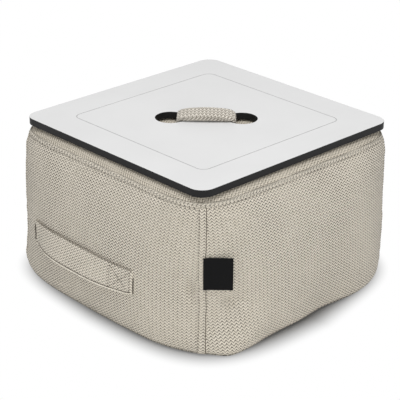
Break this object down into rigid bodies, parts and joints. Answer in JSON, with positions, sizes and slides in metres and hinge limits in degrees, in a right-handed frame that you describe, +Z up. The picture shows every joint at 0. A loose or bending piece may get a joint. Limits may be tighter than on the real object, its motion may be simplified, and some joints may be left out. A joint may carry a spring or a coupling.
{
  "type": "pouf with lift-off tray",
  "caption": "Soft square bean-filled pouf with a lift-off laminate tray, a padded strap through two finger holes in the tray, and a carrying strap on one side.",
  "frame": {"origin": "on the floor under the middle of the pouf's flat base", "axes": "+Z up; the carrying strap is on the -X face, and the label is on the corner between the -X and -Y faces"},
  "size_m": [0.5834, 0.5658, 0.3131],
  "materials": {
    "cover_cloth": "matte",
    "base_cloth": "matte",
    "liner_cloth": "matte",
    "beads": "matte",
    "tray_core": "matte",
    "tray_sheet": "matte",
    "foam": "matte",
    "webbing": "matte",
    "label": "matte",
    "zip_tape": "matte",
    "zip_coil": "satin",
    "zip_metal": "satin"
  },
  "bodies": {
    "pouf": {"cover_front_panel": "cover_cloth", "cover_left_panel": "cover_cloth", "cover_back_panel": "cover_cloth", "cover_right_panel": "cover_cloth", "cover_top_panel": "cover_cloth", "base_panel": "base_cloth", "top_seam_band": "cover_cloth", "corner_seam_front_left": "cover_cloth", "corner_seam_front_right": "cover_cloth", "corner_seam_back_left": "cover_cloth", "corner_seam_back_right": "cover_cloth", "liner_upper_half": "liner_cloth", "liner_lower_half": "liner_cloth", "bead_fill": "beads", "side_handle_front_tab": "cover_cloth", "side_handle_rear_tab": "cover_cloth", "side_handle_front_patch": "webbing", "side_handle_rear_patch": "webbing", "zip_front_tape": "zip_tape", "zip_rear_tape": "zip_tape", "zip_front_coil": "zip_coil", "zip_rear_coil": "zip_coil", "zip_closed_stop": "zip_metal", "zip_open_stop": "zip_metal"},
    "tray": {"tray_core": "tray_core", "tray_top_sheet": "tray_sheet", "tray_under_sheet": "tray_sheet", "top_handle_right_leg": "cover_cloth", "top_handle_left_leg": "cover_cloth", "top_handle_anchor": "webbing"},
    "top_handle": {"top_handle_sleeve": "cover_cloth", "top_handle_padding": "foam"},
    "side_handle": {"side_handle_sleeve": "cover_cloth", "side_handle_webbing": "webbing"},
    "zip_slider": {"zip_slider": "zip_metal"},
    "label": {"corner_label": "label"}
  },
  "joints": [
    {"name": "tray_lift", "type": "slide", "parent": "pouf", "child": "tray", "axis": [0, 0, 1], "range_m": [0, 0.12]},
    {"name": "top_handle_press", "type": "slide", "parent": "tray", "child": "top_handle", "axis": [0, 0, -1], "range_m": [0, 0.004], "stiffness_N_per_m": 1500, "deforming": ["top_handle_right_leg", "top_handle_left_leg"]},
    {"name": "side_handle_swing", "type": "hinge", "parent": "pouf", "child": "side_handle", "pos_m": [-0.2832, 0.024, 0.124], "axis": [0, 1, 0], "range_deg": [0, 75]},
    {"name": "zip_slide", "type": "slide", "parent": "pouf", "child": "zip_slider", "axis": [-1, 0, 0], "range_m": [0, 0.289]},
    {"name": "label_flip", "type": "hinge", "parent": "pouf", "child": "label", "pos_m": [-0.22798, -0.23957, 0.1535], "axis": [0, 0, -1], "range_deg": [0, 120]}
  ]
}
